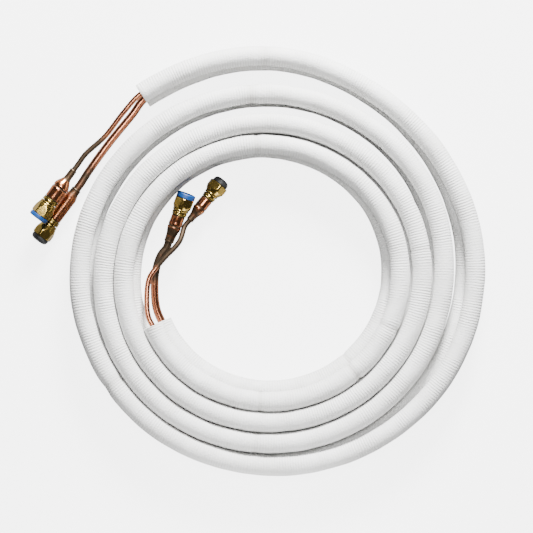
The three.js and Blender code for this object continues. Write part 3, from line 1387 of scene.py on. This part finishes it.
@dataclass(frozen=True)
class MetalFinish:
    """Bare metal that has darkened in places."""

    name: str
    clean: RGBA
    warm: RGBA
    dark: RGBA
    smooth: float
    rough: float
    blotches_per_metre: float
    stretch: tuple[float, float, float]
    lines_per_metre: float
    line_depth: float
    scuff_roughness: float = 0.12

    def build(self, effects: Effects) -> Material:
        """Makes the material.

        Args:
            effects: The shared node groups.

        Returns:
            The material.
        """
        material, sheet, shader = new_finish(self.name, self.clean)
        straight = attribute(sheet, STRAIGHT, "Vector")
        values = {
            "Place": straight, "Clean": self.clean, "Warm": self.warm, "Dark": self.dark,
            "Tarnish": attribute(sheet, TARNISH, "Fac"),
            "Blotches Per Metre": self.blotches_per_metre, "Smooth": self.smooth,
            "Rough": self.rough,
        }
        patina = sheet.add("ShaderNodeGroup", values, node_tree=effects.patina)
        drawn = {"Place": straight, "Stretch": self.stretch, "Lines Per Metre": self.lines_per_metre}
        marks = sheet.add("ShaderNodeGroup", drawn, node_tree=effects.marks)
        relief = {"Strength": 1.0, "Distance": self.line_depth * MM, "Height": marks.outputs["Height"]}
        bump = sheet.add("ShaderNodeBump", relief)
        scuffs = marks.outputs["Mask"]
        rough = sheet.math("MULTIPLY_ADD", scuffs, self.scuff_roughness, patina.outputs["Roughness"])
        looks = {"Base Color": patina.outputs["Colour"], "Roughness": rough, "Normal": bump.outputs[0]}
        sheet.fill(shader, {**looks, "Metallic": 1.0})
        return material


@dataclass(frozen=True)
class PlasticFinish:
    """Moulded plastic with a fine skin and rubbed patches."""

    name: str
    colour: RGBA
    rubbed: RGBA
    roughness: float
    cells_per_metre: float = 2400.0
    lines_per_metre: float = 320.0
    skin_depth: float = 0.05
    line_share: float = 0.5
    rubbed_share: float = 0.45
    scuff_roughness: float = 0.15

    def build(self, effects: Effects) -> Material:
        """Makes the material.

        Args:
            effects: The shared node groups.

        Returns:
            The material.
        """
        material, sheet, shader = new_finish(self.name, self.colour)
        straight = attribute(sheet, STRAIGHT, "Vector")
        skin = {"Place": straight, "Cells Per Metre": self.cells_per_metre, "Softness": 0.8}
        grain = sheet.add("ShaderNodeGroup", skin, node_tree=effects.grain)
        drawn = {"Place": straight, "Stretch": (1.0, 1.0, 6.0), "Lines Per Metre": self.lines_per_metre}
        marks = sheet.add("ShaderNodeGroup", drawn, node_tree=effects.marks)
        lines = marks.outputs["Height"]
        height = sheet.math("MULTIPLY_ADD", lines, self.line_share, grain.outputs["Height"])
        relief = {"Strength": 0.8, "Distance": self.skin_depth * MM, "Height": height}
        bump = sheet.add("ShaderNodeBump", relief)
        rubbed = sheet.math("MULTIPLY", marks.outputs["Mask"], self.rubbed_share)
        colour = sheet.mix(rubbed, self.colour, self.rubbed)
        rough = sheet.math("MULTIPLY_ADD", marks.outputs["Mask"], self.scuff_roughness, self.roughness)
        sheet.fill(shader, {"Base Color": colour, "Roughness": rough, "Normal": bump.outputs[0]})
        return material


@dataclass(frozen=True)
class SoftLight:
    """One soft studio light."""

    name: str
    place: tuple[float, float, float]
    size: float
    power: float


@dataclass(frozen=True)
class Studio:
    """The pale floor, the soft lights and the camera straight above."""

    eye: tuple[float, float, float] = (0.01093, -0.00617, 2.6)
    view_width: float = 0.6396
    sensor_width: float = 36.0
    floor_size: float = 40.0
    floor_drop: float = 0.2
    floor_colour: RGBA = (0.3, 0.3, 0.3, 1.0)
    floor_glow: float = 16.0
    cloud_shade: float = 0.985
    view_depth: float = 100.0
    sky: float = 0.08
    lights: tuple[SoftLight, ...] = (
        SoftLight("key_light", (0.35, 1.9, 1.1), 0.7, 330.0),
        SoftLight("top_light", (0.0, 0.5, 2.8), 0.8, 60.0),
        SoftLight("front_light", (0.0, -0.5, 0.12), 0.3, 2.0),
    )

    def build(self) -> None:
        """Makes the camera, the floor and the lights."""
        self.place_camera()
        self.lay_floor()
        self.hang_lights()

    def place_camera(self) -> None:
        """Stands the camera above the coil, with the photograph's framing."""
        data = bpy.data.cameras.new("camera")
        data.sensor_width = self.sensor_width
        data.lens = self.sensor_width * self.eye[2] / self.view_width
        data.clip_end = self.view_depth
        camera = shown("camera", data)
        camera.location = self.eye
        bpy.context.scene.camera = camera

    def lay_floor(self) -> None:
        """Lays the pale floor, which glows for the camera alone and so doesn't light the set."""
        half = self.floor_size / 2
        low = -self.floor_drop * MM
        mesh = bpy.data.meshes.new("floor")
        corners = [(-half, -half, low), (half, -half, low), (half, half, low), (-half, half, low)]
        mesh.from_pydata(corners, [], [(0, 1, 2, 3)])
        floor = shown("floor", mesh)
        material, sheet, shader = new_finish("pale_floor", self.floor_colour)
        place = sheet.add("ShaderNodeTexCoord").outputs["Object"]
        cloud = sheet.noise(place, 6.0, detail=2.0)
        darker = tuple(self.cloud_shade * part for part in self.floor_colour[:3]) + (1.0,)
        seen = sheet.add("ShaderNodeLightPath").outputs["Is Camera Ray"]
        sheet.fill(
            shader,
            {
                "Base Color": sheet.mix(cloud, self.floor_colour, darker), "Roughness": 0.9,
                "Specular IOR Level": 0.1, "Emission Color": self.floor_colour,
                "Emission Strength": sheet.math("MULTIPLY", seen, self.floor_glow),
            },
        )
        mesh.materials.append(material)
        floor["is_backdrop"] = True

    def hang_lights(self) -> None:
        """Hangs the soft lights and sets the pale surroundings."""
        world = bpy.data.worlds.new("pale_room")
        world.use_nodes = True
        air = world.node_tree.nodes["Background"].inputs
        air["Color"].default_value = (1.0, 1.0, 1.0, 1.0)
        air["Strength"].default_value = self.sky
        bpy.context.scene.world = world
        for light in self.lights:
            data = bpy.data.lights.new(light.name, "AREA")
            data.shape = "DISK"
            data.size = light.size
            data.energy = light.power
            made = shown(light.name, data)
            made.location = light.place
            made.visible_camera = False
            made.rotation_euler = (-Vector(light.place)).to_track_quat("-Z", "Y").to_euler()


COUPLINGS = (
    CouplingSizes(
        End.OUTER_LIQUID, CapStyle.BLUE, line_diameter=6.35, hex_turn=30.0, nut_length=17.5,
        collar_length=5.0, collar_radius=9.8, barrel_radius=9.4, barrel_length=15.5,
        shoulder_length=15.5, cup_radius=4.3, cup_length=12.0, cap_radius=11.7, cap_length=5.3,
        beads=(
            (0.93, 0.3, 0.6), (0.83, 0.9, 0.0), (0.74, 1.25, 0.0), (0.65, 1.1, 0.0),
            (0.56, 0.5, 0.0), (0.51, -0.9, 1.2), (0.46, 0.35, 0.1), (0.3, 0.1, 0.0),
        ),
    ),
    CouplingSizes(
        End.OUTER_SUCTION, CapStyle.GREY, line_diameter=9.52, hex_turn=12.0, nut_length=18.5,
        collar_length=6.0, collar_radius=9.0, barrel_radius=8.0, barrel_length=33.0, shoulder_length=6.0,
        cup_radius=5.9, cup_length=6.0, cap_radius=10.9, cap_length=7.0,
        beads=((0.93, 0.0, 0.5), (0.82, 0.1, 0.3), (0.7, 0.0, 0.3), (0.2, 0.0, 0.2)),
    ),
    CouplingSizes(
        End.INNER_SUCTION, CapStyle.BLUE, line_diameter=9.52, hex_turn=0.0, nut_length=16.5,
        collar_length=4.5, collar_radius=9.0, barrel_radius=8.0, barrel_length=14.5,
        shoulder_length=13.0, cup_radius=5.9, cup_length=6.0, cap_radius=11.3, cap_length=6.3,
        beads=(
            (0.85, 0.0, 1.0), (0.66, 0.1, 0.8), (0.55, 0.2, 0.4), (0.48, -0.4, 1.0),
            (0.4, 0.35, 0.0), (0.28, 0.0, 0.1),
        ),
    ),
    CouplingSizes(
        End.INNER_LIQUID, CapStyle.GREY, line_diameter=6.35, hex_turn=15.0, nut_length=16.5,
        collar_length=5.0, collar_radius=8.2, barrel_radius=7.3, barrel_length=15.5,
        shoulder_length=12.0, cup_radius=4.5, cup_length=6.0, cap_radius=9.9, cap_length=7.6,
        beads=((0.85, 0.0, 1.0), (0.68, 0.2, 0.7), (0.56, 0.5, 0.0), (0.5, -0.2, 0.9), (0.4, 0.2, 0.1)),
    ),
)

TAILS = (
    Tail(
        End.OUTER_LIQUID,
        ((54, 72, 0.8), (77, 92.8, 2.2)),
        ((-20.6, -21.7, -0.48),),
        dark_length=52.0, fade_length=34.0, darkness=0.95,
    ),
    Tail(
        End.OUTER_SUCTION,
        ((56.9, 78, -0.4), (81.2, 111.6, -1.2)),
        ((-15.38, -19.68, 0.21),),
        dark_length=16.0, fade_length=60.0, darkness=0.7,
    ),
    Tail(
        End.INNER_SUCTION,
        ((-29.3, -67.4, -7.3), (-35.2, -85.2, -9.1)),
        ((-8.66, 39.16, 0.71), (-6.46, 16.16, 0.11)),
        dark_length=46.0, fade_length=22.0, darkness=1.0,
    ),
    Tail(
        End.INNER_LIQUID,
        ((-47.4, -68.6, 9.4), (-64.5, -87.4, 10.5), (-75, -99.8, 10.2), (-83, -112.4, 12.5)),
        ((-7.5, 30.82, -3.55), (-5.3, 10.82, -0.75)),
        dark_length=64.0, fade_length=24.0, darkness=1.0,
    ),
)


@dataclass
class Finishes:
    """Every finish of the set."""

    foam: Material
    copper: Material
    spun_copper: Material
    brass: Material
    caps: dict[CapStyle, Material]

    @classmethod
    def make(cls) -> Finishes:
        """Builds the node groups and the materials.

        Returns:
            The finishes.
        """
        effects = Effects()
        copper = MetalFinish(
            "copper_line",
            clean=(0.34, 0.125, 0.068, 1.0), warm=(0.43, 0.165, 0.08, 1.0),
            dark=(0.066, 0.046, 0.03, 1.0), smooth=0.22, rough=0.5, blotches_per_metre=55.0,
            stretch=(1.0, 1.0, 0.04), lines_per_metre=1400.0, line_depth=0.02,
        )
        spun = MetalFinish(
            "spun_copper",
            clean=(0.36, 0.135, 0.075, 1.0), warm=(0.66, 0.235, 0.075, 1.0),
            dark=(0.075, 0.05, 0.03, 1.0), smooth=0.2, rough=0.46, blotches_per_metre=110.0,
            stretch=(0.06, 0.06, 1.0), lines_per_metre=1300.0, line_depth=0.03,
        )
        brass = MetalFinish(
            "turned_brass",
            clean=(0.38, 0.275, 0.065, 1.0), warm=(0.48, 0.29, 0.075, 1.0),
            dark=(0.06, 0.045, 0.014, 1.0), smooth=0.2, rough=0.42, blotches_per_metre=140.0,
            stretch=(0.06, 0.06, 1.0), lines_per_metre=1600.0, line_depth=0.025,
        )
        blue = PlasticFinish("blue_cap", (0.0, 0.036, 0.16, 1.0), (0.004, 0.06, 0.22, 1.0), 0.45)
        grey = PlasticFinish("grey_cap", (0.024, 0.025, 0.027, 1.0), (0.045, 0.045, 0.048, 1.0), 0.5)
        return cls(
            FoamFinish().build(effects),
            copper.build(effects),
            spun.build(effects),
            brass.build(effects),
            {CapStyle.BLUE: blue.build(effects), CapStyle.GREY: grey.build(effects)},
        )


def attach(piece: Object, body: str, node: str) -> None:
    """Hangs a finished piece on its body in place of its CAD node.

    Args:
        piece: The finished piece.
        body: The body that it rides on.
        node: The CAD node that it stands for.
    """
    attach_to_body(piece, body)
    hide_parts(node)
    piece.data.calc_loop_triangles()
    LOG.info("%s rides on %s: %d triangles", piece.name, body, len(piece.data.loop_triangles))


def read_couplings(frame: dict[str, Any]) -> dict[End, Coupling]:
    """The couplings where the frame's joints say they are.

    Args:
        frame: The loaded frame.

    Returns:
        Each coupling by its end.
    """
    joints = {joint["name"]: joint for joint in frame["joints"]}
    made = {}
    for sizes in COUPLINGS:
        joint = joints[f"{sizes.end.value}_nut_swivel"]
        made[sizes.end] = Coupling(sizes, Vector(joint["pos_m"]), Vector(joint["axis"]).normalized())
    return made


def coil_axis(winding: Winding, coupling: Coupling) -> Vector:
    """Where the coil's axis stands, from the coupling on the thin line's outer end.

    Args:
        winding: The coil.
        coupling: That coupling, which is placed from the suction sleeve's outer end.

    Returns:
        The axis on the floor, in metres.
    """
    cut_end = winding.sleeve_point(Line.SUCTION, winding.sleeve_end)
    face = (cut_end[0] + OUTER_FACE_FROM_SLEEVE[0], cut_end[1] + OUTER_FACE_FROM_SLEEVE[1])
    return Vector((coupling.face.x - face[0] * MM, coupling.face.y - face[1] * MM, 0.0))


@dataclass(frozen=True)
class LineSet:
    """The whole set: two sleeves, two copper lines and four couplings."""

    winding: Winding
    axis: Vector
    couplings: dict[End, Coupling]
    finishes: Finishes
    sweep: NodeTree

    def build(self) -> None:
        """Builds every piece and hangs it on its body."""
        self.build_sleeves()
        self.build_lines()
        for coupling in self.couplings.values():
            self.build_coupling(coupling)

    def build_sleeves(self) -> None:
        """Builds both foam sleeves."""
        inner_creases = (
            Crease(265.0, 0.5, 0.9), Crease(308.0, 0.9, 0.8), Crease(333.0, 0.6, 0.9),
            Crease(457.0, 0.5, 1.2), Crease(727.0, 0.35, 0.7), Crease(985.0, 0.4, 0.8),
            Crease(1177.0, 0.5, 1.4), Crease(1296.0, 0.5, 1.6), Crease(1532.0, 0.4, 1.2),
        )
        under_creases = (Crease(309.5, 0.5, 0.9), Crease(652.0, 0.4, 0.9), Crease(1345.0, 0.4, 1.0))
        for sleeve in (
            FoamSleeve(Line.SUCTION, 5.2, under_creases, seed=3),
            FoamSleeve(Line.LIQUID, 3.7, inner_creases, seed=8),
        ):
            piece = sleeve.build(self.winding, self.axis, self.sweep, self.finishes.foam)
            attach(piece, "root", f"{sleeve.line.value}_line_insulation")

    def build_lines(self) -> None:
        """Builds both copper lines."""
        tails = {tail.end: tail for tail in TAILS}
        for line in (
            CopperLine(Line.SUCTION, 9.52, tails[End.INNER_SUCTION], tails[End.OUTER_SUCTION]),
            CopperLine(Line.LIQUID, 6.35, tails[End.INNER_LIQUID], tails[End.OUTER_LIQUID]),
        ):
            piece = line.build(self.couplings, self.winding, self.axis, self.sweep, self.finishes.copper)
            attach(piece, "root", f"{line.line.value}_line_tube")

    def build_coupling(self, coupling: Coupling) -> None:
        """Builds the four pieces of one coupling.

        Args:
            coupling: The coupling.
        """
        name = coupling.sizes.end.value
        style = coupling.sizes.cap_style
        attach(coupling.adapter(self.finishes.spun_copper), "root", f"{name}_adapter")
        attach(coupling.brass_body(self.finishes.brass), "root", f"{name}_coupling_body")
        attach(coupling.union_nut(self.finishes.brass), f"{name}_nut", f"{name}_union_nut")
        attach(coupling.end_cap(self.finishes.caps[style]), f"{name}_nut", f"{name}_cap")


def corners() -> list[list[float]]:
    """The shown object's lowest and highest corners, as plain lists."""
    return [list(corner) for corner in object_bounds()]


def main() -> None:
    """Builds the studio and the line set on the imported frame."""
    logging.basicConfig(level=logging.INFO, format="%(name)s: %(message)s")
    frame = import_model()
    Studio().build()
    winding = Winding()
    couplings = read_couplings(frame)
    axis = coil_axis(winding, couplings[End.OUTER_LIQUID])
    LineSet(winding, axis, couplings, Finishes.make(), sweep_tree()).build()


if __name__ == "__main__":
    main()
